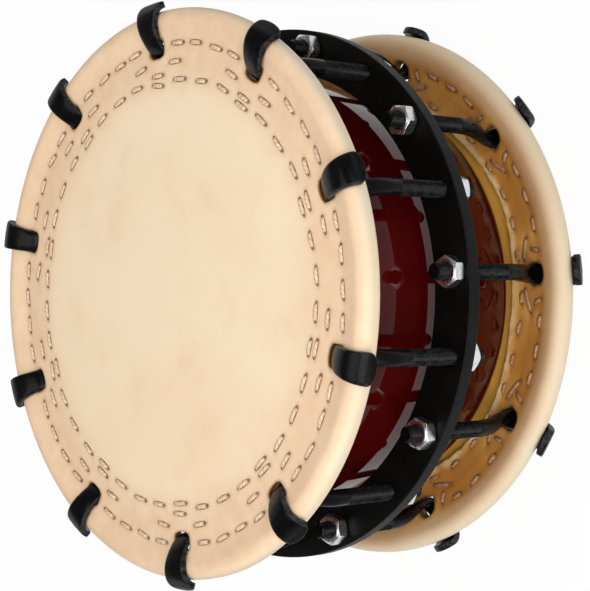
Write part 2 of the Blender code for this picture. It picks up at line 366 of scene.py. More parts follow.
def twoToneFinish(name, look, **sockets):
    # two tones in patches, and a fine grain in the gloss and the relief
    finish = Finish(name, **sockets)
    patch, grain = finish.patches(*look["patches"])
    finish.feed("Base Color", finish.mix(patch, *look["tones"]))
    finish.feed("Roughness", finish.ranged(grain, *look["rough"]))
    finish.bump(grain, *look["relief"])
    return finish.material


rawhide = hideFinish("rawhide", {
    "cream": (0.90, 0.72, 0.505),
    "warm": (0.87, 0.66, 0.435),
    "laced": (0.79, 0.545, 0.345),
    "fleck": (0.72, 0.48, 0.28),
    "rim": (0.61, 0.57, 0.445),
    "rimWarm": (0.66, 0.54, 0.375),
    "flapLight": (0.78, 0.385, 0.095),
    "flapDark": (0.60, 0.245, 0.045),
    "cutEdgeAndGlow": (0.86, 0.62, 0.30),
    # dark brown in the stitch grooves, the stitch holes and round the hook holes: partly stain, partly
    # painted shade
    "crease": (0.24, 0.105, 0.035),
    "darkened": "crease",
})
# the hide's flesh side, inside the sheet and on its cut edges: its strong gold is partly the amber of the
# flesh side and partly painted glow of light shining through the single layer of skin
fleshSideAndGlow = hideFinish("rawhide_flesh_side_and_glow", {
    "cream": (0.95, 0.51, 0.085),
    "warm": (0.88, 0.43, 0.06),
    "laced": (0.90, 0.46, 0.07),
    "fleck": (0.70, 0.32, 0.05),
    "rim": (0.90, 0.56, 0.16),
    "rimWarm": (0.86, 0.50, 0.12),
    "flapLight": (0.72, 0.45, 0.16),
    "flapDark": (0.62, 0.35, 0.10),
    "cutEdgeAndGlow": (0.80, 0.58, 0.30),
    # darker round the hook holes: partly grime, partly painted shade inside the holes
    "crease": (0.12, 0.05, 0.015),
    "darkened": "holeGrimeAndShade",
})
faceLace = laceFinish("face_lacing", (0.84, 0.655, 0.46), (0.72, 0.52, 0.345), (0.15, 0.065, 0.028))
# the cord on the flap is darker and browner than on the face: partly its tone there, partly painted shade
# of the flap side
flapLace = laceFinish("flap_lacing", (0.56, 0.31, 0.15), (0.44, 0.22, 0.10), (0.10, 0.035, 0.012))

# the groove that a stitch presses into the hide, dark brown: partly stain in the groove, partly painted
# shade of the recess
stitchGrooveStainAndShade = twoToneFinish("stitch_groove", {
    "patches": (150.0, 900.0),
    "tones": ((0.29, 0.155, 0.07), (0.19, 0.092, 0.04)),
    "rough": (0.6, 0.8, 0.3, 0.7),
    "relief": (0.3, 0.0003),
})
# deep red gloss lacquer under a clear coat, faintly clouded, with a little orange peel
redLacquer = twoToneFinish("red_lacquer", {
    "patches": (14.0, 260.0, 0.3, 0.7),
    "tones": ((0.042, 0.0009, 0.0008), (0.062, 0.0016, 0.0013)),
    "rough": (0.22, 0.32, 0.3, 0.7),
    "relief": (0.02, 0.0003),
}, Coat_Weight=1.0, Coat_Roughness=0.03, Coat_IOR=1.42, Specular_IOR_Level=0.0)
# bare turned wood inside the body, its grain drawn out along the axis
bareWood = twoToneFinish("bare_wood", {
    "patches": (30.0, 240.0, 0.35, 0.65, (1.0, 1.0, 0.12)),
    "tones": ((0.42, 0.26, 0.13), (0.33, 0.18, 0.08)),
    "rough": (0.5, 0.75, 0.3, 0.7),
    "relief": (0.2, 0.0004),
})
hookBlack = blackSteelFinish("hook_black", {
    "base": (0.002, 0.002, 0.0023),
    "glint": (0.004, 0.004, 0.0045),
    "wornAndSheen": (0.075, 0.075, 0.08),
    "patches": (60.0, 420.0, 0.35, 0.7, (1, 1, 0.5)),
    "wearAndSheen": (0.0, 1.0, 0.35, 0.65),
    "rough": (0.16, 0.34, 0.3, 0.7),
    "specular": 0.13,
    "relief": (0.10, 0.0003),
})
flangeBlack = blackSteelFinish("flange_black", {
    "base": (0.0015, 0.0015, 0.0015),
    "glint": (0.003, 0.003, 0.003),
    "wornAndSheen": (0.03, 0.03, 0.03),
    "patches": (60.0, 420.0, 0.35, 0.7),
    "wearAndSheen": (0.0, 1.0, 0.35, 0.65),
    "rough": (0.42, 0.56, 0.3, 0.7),
    "specular": 0.14,
    "relief": (0.06, 0.0003),
})
# satin plating with fine marks from the spanner
chrome = twoToneFinish("chrome", {
    "patches": (180.0, 900.0, 0.4, 0.65),
    "tones": ((0.80, 0.81, 0.82), (0.68, 0.69, 0.71)),
    "rough": (0.22, 0.36, 0.35, 0.7),
    "relief": (0.05, 0.0003),
}, Metallic=1.0)
# drawn steel wire inside the fold of the hide
bareSteel = twoToneFinish("bare_steel", {
    "patches": (40.0, 500.0, 0.4, 0.65),
    "tones": ((0.42, 0.42, 0.43), (0.30, 0.28, 0.26)),
    "rough": (0.3, 0.5, 0.3, 0.7),
    "relief": (0.1, 0.0003),
}, Metallic=1.0)
print("finishes made")


# lacing: each stitch of one hook's sector as radius mm, degrees from the hook, length mm, tilt degrees
lacing = {
    "face": [
        (127.2, 0.0, 10.8, 0), (132.4, 0.0, 10.8, 0),         # doubled stitch at the hook
        (129.6, 9.0, 10.8, 0), (129.6, -9.0, 10.8, 0), (129.6, 18.0, 10.8, 0),
        (140.0, 7.2, 10.8, 0), (140.0, -7.2, 10.8, 0),
        (151.0, 7.6, 10.8, 0), (151.0, -7.6, 10.8, 0),
        (151.0, 14.5, 10.8, 0), (151.0, -14.5, 10.8, 0),
    ],
    "flap": [
        (134.2, 5.3, 7.9, 0), (134.2, -5.3, 7.9, 0),
        (134.5, 13.7, 8.3, 0), (134.5, -13.7, 8.3, 0),
        (141.0, 6.5, 15.5, 18), (141.0, -6.5, 15.5, -18),     # long stitches in a V at the hook
        (149.2, 6.2, 8.0, -70), (149.2, -6.2, 8.0, 70),
        (153.3, 11.2, 9.0, 0), (153.3, -11.2, 9.0, 0), (153.3, 18.0, 9.6, 0),
    ],
    # how far hand sewing strays: radius, angle in radians, share of the half length, turn in radians
    "stray": {"radius": 0.45 * mm, "angle": 0.0045, "half": (0.9, 1.08), "turn": 0.07},
    "halfWidth": 1.45 * mm,
    "halfHeight": 0.75 * mm,
    "lift": 0.45 * mm,
    "dive": 1.0 * mm,
    "along": (-1.03, -0.94, -0.72, 0.0, 0.72, 0.94, 1.03),   # the strand's sections, in half lengths,
    "thick": (0.6, 0.85, 1.0, 1.0, 1.0, 0.85, 0.6),          # and the size of each
    "archPower": 5,
    "diveEnds": (0.72, 0.96),
    "twist": 3.1 * mm,          # from one dark line of the cord to the next
    "plies": 2,
    "around": 6,
    "nearby": 12 * mm,          # no stitch presses the hide beyond this
    "grooveReach": 2.1 * mm,
    "pitReach": 1.7 * mm,
    "grooveMargin": 0.65 * mm,
    "grooveEnd": 1.0 * mm,
    "ovalCorners": 18,
    "lensShare": 0.8,
    "lensHeights": (-0.28 * mm, 0.02 * mm, 0.05 * mm),   # outer ring, inner ring, middle
}


def stitchPlan(rows, rng):
    # plan centre, direction and half length of every stitch of one face, all ten sectors
    sector = np.array(rows, float)
    count = drum["hooks"]
    radius = np.tile(sector[:, 0] * mm, count)
    angle = (np.radians(sector[:, 1]) + np.arange(count)[:, None] * hookStep).ravel()
    half = np.tile(sector[:, 2] * mm / 2, count)
    tilt = np.radians(np.tile(sector[:, 3], count))
    n = len(radius)
    stray = lacing["stray"]
    radius = radius + rng.normal(0, stray["radius"], n)
    angle = angle + rng.normal(0, stray["angle"], n)
    half = half * rng.uniform(*stray["half"], n)
    turn = angle + math.pi / 2 - tilt + rng.normal(0, stray["turn"], n)
    return {
        "centre": np.stack([radius * np.cos(angle), radius * np.sin(angle)], -1),
        "along": np.stack([np.cos(turn), np.sin(turn)], -1),
        "half": half,
    }


def nearStitches(x, y, plan):
    # how deep a point lies in the groove of any stitch, and in the pit at either end, 0 to 1,
    # as bell curves of its distance from the strand and from the strand's two ends
    groove = np.zeros(len(x))
    pit = np.zeros(len(x))
    grooveReach = lacing["grooveReach"]
    pitReach = lacing["pitReach"]
    for centre, along, half in zip(plan["centre"], plan["along"], plan["half"]):
        near = np.abs(x - centre[0]) + np.abs(y - centre[1]) < half * 2 + lacing["nearby"]
        dx = x[near] - centre[0]
        dy = y[near] - centre[1]
        u = np.abs(dx * along[0] + dy * along[1])
        v = dy * along[0] - dx * along[1]
        past = np.maximum(u - half, 0)
        groove[near] = np.maximum(groove[near], np.exp(-(v**2 + past**2) / grooveReach**2))
        pit[near] = np.maximum(pit[near], np.exp(-(v**2 + (u - half) ** 2) / pitReach**2))
    return groove, pit


# hides
hide = {
    "thickness": 2.2 * mm,
    "faceHeight": 3.7 * mm,
    "flapHeight": -1.0 * mm,
    "rimRadius": 7.5 * mm,
    "foldStart": {1: 150 * mm, -1: 139 * mm},   # on the face and on the flap
    "wrap": math.radians(105),
    "flapEdge": 127.8 * mm,

    # rows of points, in mm: wide apart on the bare face, close where it is laced, then rim and flap
    "bareRows": (8, 22, 38, 54, 70, 84, 96, 105, 112, 118, 122),
    "lacedRows": (124, 163, 1.22),              # from, to, step
    "arcRows": 24,
    "flapRows": 31,
    "rowGap": {1: 0.4 * mm, -1: 1.2 * mm},      # the face and the flap stop this short of the rim's arc
    "columns": 440,

    # unevenness: waves round the rim, how high they are, and where they are felt
    "waveOrders": {
        "face": range(2, 9),
        "rim": range(3, 16),
        "wander": range(15, 61, 3),
        "pleat": range(14, 80, 4),
        "pucker": range(64, 97, 4),
    },
    "waveSizes": (0.4, 1.0),
    "faceWave": 0.12 * mm,
    "faceWaveBand": (50 * mm, 150 * mm),
    "rimWave": 0.2 * mm,
    "drift": 1.9 * mm,                          # the cut edge was trimmed by hand, in slow swings
    "driftSwings": 6,
    "driftPeak": math.radians(88),
    "wander": 0.9 * mm,
    "pleat": 1.8 * mm,
    "pucker": 0.9 * mm,
    "edgeReach": 10 * mm,
    "stitchedFrom": 120 * mm,
    "swell": 0.55 * mm,                         # the flap rises between its stitches, up to swellEnd
    "swellEnd": 152 * mm,
    "swellFade": 6 * mm,
    "groovePress": 0.30 * mm,
    "pitPress": 0.35 * mm,

    # tones: the rim turns brown from brownStart to its inner end, and the flap does the rest
    "brownStart": math.radians(-5),
    "rimBrown": 0.7,
    "brownReach": 9 * mm,
    "rimEnds": (math.radians(-60), math.radians(-5)),
    "rimShare": 0.85,
    "lacedFrom": (112 * mm, 142 * mm),
    "lacedTo": (math.radians(-80), 0.0),
    # how dark the grooves and stitch holes get, and how far the dark reaches round a hook hole: partly
    # stain, partly painted shade
    "grooveDarkening": 0.15,
    "pitDarkening": 0.40,
    "holeDarkReach": 1.1 * mm,
    "hollowReach": 4 * mm,
    "cutBand": (1.5 * mm, 6.0 * mm),

    # the hook holes lie on this circle; half of each is round, half hugs the hook
    "holeCircle": 148.0 * mm,
    "faceHole": {"in": 4.6 * mm, "out": 6.6 * mm, "across": 7.25 * mm, "inPower": 2.6, "outPower": 6.0},
    "flapHole": {"in": 4.6 * mm, "out": 7.9 * mm, "across": 7.5 * mm, "inPower": 6.0, "outPower": 2.2},
}


def foldHeight(r, level, sign):
    # height of a sheet that leaves its flat level at the fold and meets the rim's arc smoothly:
    # a cubic, level at its start and with the arc's own slope at its end
    end = drum["ringRadius"] + hide["rimRadius"] * math.cos(hide["wrap"])
    top = sign * hide["rimRadius"] * math.sin(hide["wrap"])
    slope = -sign * math.cos(hide["wrap"]) / math.sin(hide["wrap"])
    start = hide["foldStart"][sign]
    span = end - start
    t = np.clip((r - start) / span, 0, 1)
    return level + (top - level) * t * t * (3 - 2 * t) + slope * span * t * t * (t - 1)


def waves(angle, kind, rng):
    # a sum of cosines round the rim, each with its own phase, about -1 to 1
    orders = hide["waveOrders"][kind]
    phase = rng.uniform(0, fullTurn, len(orders))
    size = rng.uniform(*hide["waveSizes"], len(orders))
    return (np.cos(np.multiply.outer(angle, orders) + phase) * size).sum(-1) / size.sum()


def hideProfile():
    # the section: out over the face, round the rim's arc, and back along the flap to its edge
    ringR = drum["ringRadius"]
    rimR = hide["rimRadius"]
    rimEnd = ringR + rimR * math.cos(hide["wrap"])
    faceR = np.concatenate([hide["bareRows"], np.arange(*hide["lacedRows"])]) * mm
    faceR = faceR[faceR < rimEnd - hide["rowGap"][1]]
    arc = np.linspace(hide["wrap"], -hide["wrap"], hide["arcRows"])
    flapR = np.linspace(rimEnd - hide["rowGap"][-1], hide["flapEdge"], hide["flapRows"])
    onFace = np.zeros(len(faceR))
    onFlap = np.zeros(len(flapR))
    darkened = hide["rimBrown"]
    arcBrown = smoothStep(-arc, hide["brownStart"], hide["wrap"]) * darkened
    flapBrown = darkened + (1 - darkened) * smoothStep(rimEnd - flapR, 0, hide["brownReach"])
    arcRim = smoothStep(-arc, *hide["rimEnds"]) * (1 - arcBrown)
    faceLaced = smoothStep(faceR, *hide["lacedFrom"])
    arcLaced = 1 - smoothStep(-arc, *hide["lacedTo"])
    part = np.repeat([0, 1, 2], [len(faceR), len(arc), len(flapR)])[:, None]
    return {
        "r": np.concatenate([faceR, ringR + rimR * np.cos(arc), flapR]),
        "h": np.concatenate([
            foldHeight(faceR, hide["faceHeight"], 1),
            rimR * np.sin(arc),
            foldHeight(flapR, hide["flapHeight"], -1),
        ]),
        "onFace": part == 0,
        "onRim": part == 1,
        "onFlap": part == 2,
        "flap": np.concatenate([onFace, arcBrown, flapBrown]),
        "rim": np.concatenate([onFace, arcRim, 1 - flapBrown]) * hide["rimShare"],
        "laced": np.concatenate([faceLaced, arcLaced, onFlap]),
    }


def shapeHide(profile, angle, facePlan, flapPlan, rng):
    # radius, height and darkening of every point of the profile turned once round the axis; the darkening
    # in the stitch grooves and stitch holes is partly stain and partly painted shade
    onFlap = profile["onFlap"]
    radius = np.repeat(profile["r"][:, None], len(angle), 1)
    height = np.repeat(profile["h"][:, None], len(angle), 1)

    # the rim is never quite even, and the flap's cut edge drifts and wanders
    faceWave = waves(angle, "face", rng) * hide["faceWave"]
    height = height + faceWave * smoothStep(radius, *hide["faceWaveBand"])
    radius = radius + profile["onRim"] * (waves(angle, "rim", rng) * hide["rimWave"])
    wander = 0.5 + 0.5 * waves(angle, "wander", rng)
    drift = 1 + np.cos(hide["driftSwings"] * (angle - hide["driftPeak"]))
    edgeEnd = hide["flapEdge"] + hide["edgeReach"]
    toEdge = onFlap * (1 - smoothStep(radius, hide["flapEdge"], edgeEnd))
    radius = radius + toEdge * (wander * hide["wander"] + drift * hide["drift"])

    # stitches press grooves into both layers, and the flap swells between them
    x = radius * np.cos(angle)
    y = radius * np.sin(angle)
    crease = np.zeros_like(radius)
    layers = ((profile["onFace"], facePlan, 1, 0), (onFlap, flapPlan, -1, hide["swell"]))
    for part, plan, up, swell in layers:
        band = part & (radius > hide["stitchedFrom"])
        groove, pit = nearStitches(x[band], y[band], plan)
        inside = smoothStep(hide["swellEnd"] - radius[band], 0, hide["swellFade"])
        height[band] += up * (swell * (1 - groove) * inside)
        height[band] -= up * (hide["groovePress"] * groove + hide["pitPress"] * pit)
        # the grooves and stitch holes get darker: partly stain, partly painted shade in the recesses
        crease[band] = np.clip(hide["grooveDarkening"] * groove + hide["pitDarkening"] * pit, 0, 1)

    # the cut edge is pleated, and finely puckered
    pleat = waves(angle, "pleat", rng)
    pucker = waves(angle, "pucker", rng)
    height = height - toEdge * ((0.5 + 0.5 * pleat) * hide["pleat"] + pucker * hide["pucker"])
    return radius, height, crease


def pierceHide(profile, radius, height, angle):
    # hook holes: cells inside a hole go, and the points round it move onto its edge, which is made of
    # two half superellipses, where away is 1; also gives how far each point lies past that edge
    onFlap = profile["onFlap"]
    toHook = (angle + hookStep / 2) % hookStep - hookStep / 2
    du = radius * np.cos(toHook) - hide["holeCircle"]
    dv = radius * np.sin(toHook)
    hole = {}
    for key, onTop in hide["faceHole"].items():
        hole[key] = np.where(onFlap, hide["flapHole"][key], onTop)
    halfU = np.where(du < 0, hole["in"], hole["out"])
    power = np.where(du < 0, hole["inPower"], hole["outPower"])
    halfV = hole["across"]
    away = (np.abs(du / halfU) ** power + np.abs(dv / halfV) ** power) ** (1 / power)
    quads = gridQuads(*radius.shape)
    inHole = away.ravel()[quads].mean(1) < 1
    kept = quads[~inHole]
    border = np.zeros(radius.size, bool)
    border[quads[inHole].ravel()] = True
    used = np.zeros(radius.size, bool)
    used[kept.ravel()] = True
    border = (border & used).reshape(radius.shape)
    pull = 1 / np.maximum(away, 1e-6)
    hookAngle = angle - toHook
    radial = hide["holeCircle"] + du * pull
    across = dv * pull
    x = np.where(border, radial * np.cos(hookAngle) - across * np.sin(hookAngle), radius * np.cos(angle))
    y = np.where(border, radial * np.sin(hookAngle) + across * np.cos(hookAngle), radius * np.sin(angle))
    newRadius = np.hypot(x, y)
    for part, level, up in ((profile["onFace"], hide["faceHeight"], 1), (onFlap, hide["flapHeight"], -1)):
        shift = foldHeight(newRadius, level, up) - foldHeight(radius, level, up)
        height = height + np.where(border & part, shift, 0)
    points = np.stack([x, y, height], -1).reshape(-1, 3)
    return points, kept, used, (away - 1) * halfV


def buildHead(side, seed):
    # the hide, closed by a fan in the middle of its face, and then its lacing
    rng = np.random.default_rng(seed)
    facePlan = stitchPlan(lacing["face"], rng)
    flapPlan = stitchPlan(lacing["flap"], rng)
    profile = hideProfile()
    cols = hide["columns"]
    angle = np.arange(cols) * fullTurn / cols
    radius, height, crease = shapeHide(profile, angle, facePlan, flapPlan, rng)
    points, kept, used, pastHole = pierceHide(profile, radius, height, angle)

    number = np.cumsum(used) - 1
    points = np.concatenate([points[used], [[0, 0, hide["faceHeight"]]]])
    quads = number[kept][:, ::-1]
    tris = capTris(number[np.arange(cols)], len(points) - 1)
    piece = makePiece(f"{side}_hide", moved(points, sideFrame[side]), quads, tris)
    tones = {key: np.repeat(profile[key][:, None], cols, 1) for key in ("flap", "rim", "laced")}
    tones["edge"] = profile["onFlap"] * (1 - smoothStep(radius - radius[-1], *hide["cutBand"]))
    # the hide darkens at the edge of each hook hole, as painted shade
    tones["crease"] = np.maximum(crease, np.exp(-(pastHole / hide["holeDarkReach"]) ** 2))
    # the flesh side darkens round the hook holes: partly grime, partly painted shade inside the holes
    tones["holeGrimeAndShade"] = np.exp(-(np.maximum(pastHole, 0) / hide["hollowReach"]) ** 2)
    for key, values in tones.items():
        pointValues(piece, key, np.append(values.ravel()[used], 0))
    wall = piece.modifiers.new("wall", "SOLIDIFY")
    wall.thickness = hide["thickness"]
    wall.offset = -1
    wall.material_offset = 1
    wall.material_offset_rim = 1
    dress(piece, "drum", "rawhide", rawhide, fleshSideAndGlow)
    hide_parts(f"{side}_head_skin")
    print(side, "hide:", len(points), "points")

    layLacing(f"{side}_face", side, facePlan, hide["faceHeight"], 1, faceLace)
    pressGrooves(f"{side}_face", side, facePlan, hide["faceHeight"], 1)
    layLacing(f"{side}_flap", side, flapPlan, hide["flapHeight"], -1, flapLace)
    pressGrooves(f"{side}_flap", side, flapPlan, hide["flapHeight"], -1)


def layLacing(name, side, plan, level, up, cord):
    # a strand: an oval section carried over a low arch that dives into the hide at both ends
    n = len(plan["half"])
    u = np.array(lacing["along"])
    thick = np.array(lacing["thick"])
    arch = 1 - np.abs(u) ** lacing["archPower"]
    m = lacing["around"]
    around = np.arange(m) * fullTurn / m - math.pi / 2
    sideways = np.stack([-plan["along"][:, 1], plan["along"][:, 0]], -1)
    centre = plan["centre"][:, None, :]
    spine = centre + (plan["half"][:, None] * u)[..., None] * plan["along"][:, None, :]
    ground = foldHeight(np.hypot(spine[..., 0], spine[..., 1]), level, up) * up
    height = ground + (lacing["lift"] + lacing["dive"]) * arch - lacing["dive"]
    across = lacing["halfWidth"] * np.cos(around)[None, :] * thick[:, None]
    rise = lacing["halfHeight"] * np.sin(around)[None, :] * thick[:, None]
    flat = spine[:, :, None, :] + across[None, :, :, None] * sideways[:, None, None, :]
    z = (height[:, :, None] + rise[None]) * up
    points = np.concatenate([flat, z[..., None]], -1).reshape(-1, 3)
    caps = np.array([[3, 2, 1, 0], [5, 4, 3, 0]])   # two quads close an end of six corners
    one = np.concatenate([gridQuads(len(u), m), caps, caps[:, ::-1] + (len(u) - 1) * m])
    quads = (one[None] + (np.arange(n) * len(u) * m)[:, None, None]).reshape(-1, 4)
    quads, _ = outwards(points, quads)
    lace = makePiece(f"{name}_lacing", moved(points, sideFrame[side]), quads)
    # where the cord dives into the hide it takes painted shade
    pointValues(lace, "dive", np.tile(np.repeat(smoothStep(np.abs(u), *lacing["diveEnds"]), m), n))
    lay = (plan["half"][:, None] * u)[..., None] / lacing["twist"] + np.arange(m) * lacing["plies"] / m
    pointValues(lace, "lay", lay.ravel())
    dress(lace, "drum", "rawhide", cord)


def pressGrooves(name, side, plan, level, up):
    # the groove under each strand: a thin dark oval lens, a little longer and wider than the strand,
    # whose colour is partly the groove's stain and partly painted shade
    n = len(plan["half"])
    centre = plan["centre"][:, None, :]
    sideways = np.stack([-plan["along"][:, 1], plan["along"][:, 0]], -1)
    corners = lacing["ovalCorners"]
    ring = np.arange(corners) * fullTurn / corners
    halfLength = plan["half"] + lacing["grooveEnd"]
    halfWidth = lacing["halfWidth"] + lacing["grooveMargin"]
    offset = (
        (halfLength[:, None] * np.cos(ring))[..., None] * plan["along"][:, None, :]
        + (halfWidth * np.sin(ring))[None, :, None] * sideways[:, None, :]
    )
    flat = np.concatenate([centre + offset, centre + offset * lacing["lensShare"], centre], 1)
    ground = foldHeight(np.hypot(flat[..., 0], flat[..., 1]), level, up) * up
    raised = np.repeat(lacing["lensHeights"], [corners, corners, 1])
    z = (ground + raised[None]) * up
    points = np.concatenate([flat, z[..., None]], -1).reshape(-1, 3)
    shift = (np.arange(n) * (2 * corners + 1))[:, None, None]
    fan = capTris(np.arange(corners, 2 * corners), 2 * corners)
    quads = (gridQuads(2, corners)[None] + shift).reshape(-1, 4)
    tris = (fan[None] + shift).reshape(-1, 3)
    if up < 0:
        quads = quads[:, ::-1]
        tris = tris[:, ::-1]
    grooves = makePiece(f"{name}_stitch_grooves", moved(points, sideFrame[side]), quads, tris)
    dress(grooves, "drum", "rawhide", stitchGrooveStainAndShade)


buildHead("top", 11)
buildHead("bottom", 29)


# body
body = {
    "endRadius": 128 * mm,
    "bellyRise": 6.8 * mm,
    "bearingRound": 12.5 * mm,
    "land": 3 * mm,
    "bore": 110 * mm,
    "flare": 10 * mm,
    "edgeRows": 12,
    "barrelRows": 41,
    "columns": 192,
    "sharp": 35,
}


def buildBody():
    # a turned barrel: a parabola outside, quarter rounds at the bearing edges, a flared bore
    low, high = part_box("body_shell")
    half = (high.z - low.z) / 2
    middle = (high.z + low.z) / 2
    shoulder = half - body["bearingRound"]
    centre = body["endRadius"] - body["bearingRound"]
    turn = np.linspace(math.pi / 2, 0, body["edgeRows"])
    edgeR = centre + body["bearingRound"] * np.cos(turn)
    edgeZ = shoulder + body["bearingRound"] * np.sin(turn)
    z = np.linspace(shoulder, -shoulder, body["barrelRows"])[1:-1]
    barrel = body["endRadius"] + body["bellyRise"] * (1 - (z / shoulder) ** 2)
    land = centre - body["land"]
    boreR = np.array([land, body["bore"], body["bore"], land])
    boreZ = np.array([-half, body["flare"] - half, half - body["flare"], half])
    r = np.concatenate([edgeR, barrel, edgeR[::-1], boreR])
    h = np.concatenate([edgeZ, z, -edgeZ[::-1], boreZ])
    angle = np.arange(body["columns"]) * fullTurn / body["columns"]
    x = np.multiply.outer(r, np.cos(angle))
    y = np.multiply.outer(r, np.sin(angle))
    points = np.stack([x, y, np.repeat(h[:, None] + middle, len(angle), 1)], -1).reshape(-1, 3)
    quads, _ = outwards(points, gridQuads(len(r), len(angle), closeRows=True))
    piece = makePiece("body", points, quads, sharpAngle=body["sharp"])
    dress(piece, "drum", "red_lacquer", redLacquer, bareWood)
    inside = (np.arange(len(quads)) // len(angle)) >= len(r) - len(boreR) - 1
    piece.data.polygons.foreach_set("material_index", inside.astype(np.int32))
    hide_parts("body_shell")
    print("body:", len(points), "points")


buildBody()


# flange
flange = {
    "inner": 140.0 * mm,
    "outer": 167.5 * mm,
    "hole": 5.35 * mm,
    "edge": 0.9 * mm,
    "innerChamfer": 3.0 * mm,   # on the lower face only
    "innerBand": 0.1 * mm,
    "rings": (0, 0.15, 0.5),    # shares of the way from a bolt hole to the border
    "sideCells": 8,
    "arcCells": 14,
    "weld": 1e-6,
    "bevelFrom": math.radians(35),
    "bevelSegments": 3,
}


def buildFlange():
    # one sector of the upper face: rings that pass from a round hole to a border of two arcs and two
    # radial lines; the plate's thickness grows down from it, less at the bore, which is the chamfer
    halfStep = hookStep / 4
    radial = np.linspace(flange["inner"], flange["outer"], flange["sideCells"] + 1)
    arc = np.linspace(-halfStep, halfStep, flange["arcCells"] + 1)
    border = np.concatenate([
        np.stack([np.full(flange["arcCells"], flange["outer"]), arc[:-1]], -1),
        np.stack([radial[:0:-1], np.full(flange["sideCells"], halfStep)], -1),
        np.stack([np.full(flange["arcCells"], flange["inner"]), arc[:0:-1]], -1),
        np.stack([radial[:-1], np.full(flange["sideCells"], -halfStep)], -1),
    ])
    edge = border[:, :1] * np.stack([np.cos(border[:, 1]), np.sin(border[:, 1])], -1)
    bolt = np.array([drum["boltRadius"], 0])
    toward = edge - bolt
    rim = bolt + flange["hole"] * toward / np.linalg.norm(toward, axis=1, keepdims=True)
    chamferFrom = 1 - flange["innerChamfer"] / (drum["boltRadius"] - flange["hole"] - flange["inner"])
    share = np.array([*flange["rings"], chamferFrom, 1.0])[:, None, None]
    sector = (rim[None] * (1 - share) + edge[None] * share).reshape(-1, 2)
    spin = np.arange(2 * drum["hooks"]) * hookStep / 2
    x = np.multiply.outer(np.cos(spin), sector[:, 0]) - np.multiply.outer(np.sin(spin), sector[:, 1])
    y = np.multiply.outer(np.sin(spin), sector[:, 0]) + np.multiply.outer(np.cos(spin), sector[:, 1])
    points = np.stack([x, y, np.full_like(x, drum["flangeHigh"])], -1).reshape(-1, 3)
    one = gridQuads(len(share), len(border))
    quads = (one[None] + (np.arange(len(spin)) * len(sector))[:, None, None]).reshape(-1, 4)
    piece = makePiece("flange", points, quads)
    pointValues(piece, "wearAndSheen", np.zeros(len(points)))
    bm = bmesh.new()
    bm.from_mesh(piece.data)
    bmesh.ops.remove_doubles(bm, verts=bm.verts, dist=flange["weld"])
    bmesh.ops.recalc_face_normals(bm, faces=bm.faces)
    bm.to_mesh(piece.data)
    bm.free()
    thickness = drum["flangeHigh"] - drum["flangeLow"]
    place = np.zeros(3 * len(piece.data.vertices), np.float32)
    piece.data.vertices.foreach_get("co", place)
    radius = np.hypot(place[0::3], place[1::3])
    inner = radius < flange["inner"] + flange["innerBand"]
    full = piece.vertex_groups.new(name="thickness")
    full.add(np.flatnonzero(~inner).tolist(), 1.0, "REPLACE")
    full.add(np.flatnonzero(inner).tolist(), 1 - flange["innerChamfer"] / thickness, "REPLACE")
    plate = piece.modifiers.new("plate", "SOLIDIFY")
    plate.thickness = thickness
    plate.vertex_group = full.name
    plate.offset = -1
    bevel = piece.modifiers.new("edge", "BEVEL")
    bevel.width = flange["edge"]
    bevel.segments = flange["bevelSegments"]
    bevel.limit_method = "ANGLE"
    bevel.angle_limit = flange["bevelFrom"]
    bevel.harden_normals = True
    dress(piece, "drum", "black_steel", flangeBlack)
    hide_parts("tension_flange")
    print("flange:", len(piece.data.vertices), "points")


buildFlange()


# hook bolts, measured from the rod's own line and the steel ring's plane
hook = {
    "rodRadius": 5.0 * mm,
    "pitch": 1.5 * mm,
    "threadDepth": 0.85 * mm,
    "threadStep": 0.25 * mm,
    "threadReach": 36 * mm,     # thread beyond the flange's face
    "endChamfer": 1.0 * mm,
    "crankFrom": -38 * mm,
    "crankTo": -3 * mm,
    "crank": -9.7 * mm,         # how far the shank steps in from the rod
    "lead": 15.75 * mm,
    "rise": 6 * mm,
    "ringOffset": 9 * mm,
    "overhang": 1.2 * mm,       # the claw's arc opens a little towards its tip
    "arcRadius": 10.1 * mm,
    "arcFrom": math.radians(97.5),
    "arcTo": math.radians(22),
    "tipLength": 3.8 * mm,
    "tipRound": 18 * mm,
    "endRound": 0.7 * mm,
    "thickness": 4.6 * mm,
    "rootWidth": 12.5 * mm,
    "tipWidth": 18.8 * mm,
    "crown": 0.3 * mm,
    "widthSpread": (0.98, 1.03),
    "roundSpread": (0.92, 1.08),
    "cornerPower": 9.0,         # how tightly the sides turn into the tip's arc
    "shankSquare": 0.15,        # a round-edged shank, and square edges on the claw
    "squareEnds": (0.3, 0.8),
    "squareness": 8,
    "hammer": 0.05 * mm,
    "hammerWaves": (310, 520, 870),
    "hammerPhase": 6.0,
    "threadFade": 2,            # turns over which the thread runs out
    "threadFlank": 1.25,
    "threadCrest": 0.1,
    # lighter claw edges and thread crests: partly wear, partly painted highlight
    "edgeWearAndSheen": (0.86, 0.99),
    "edgeWearShare": 0.5,
    "crestWearAndSheen": (0.7, 1.0),
    "runOut": 0.4 * mm,
    "approach": 0.55,
    "openTo": math.radians(60),
    "plainRows": 5,
    "bendRows": 17,
    "arcRows": 21,
    "tipRows": 12,
    "around": 28,
    "sharp": 45,
}


def bezier(points, t):
    # a cubic curve from the first point to the last, drawn towards the two between
    p = [np.array(point, float) for point in points]
    t = t[:, None]
    s = 1 - t
    return s**3 * p[0] + 3 * s**2 * t * p[1] + 3 * s * t**2 * p[2] + t**3 * p[3]


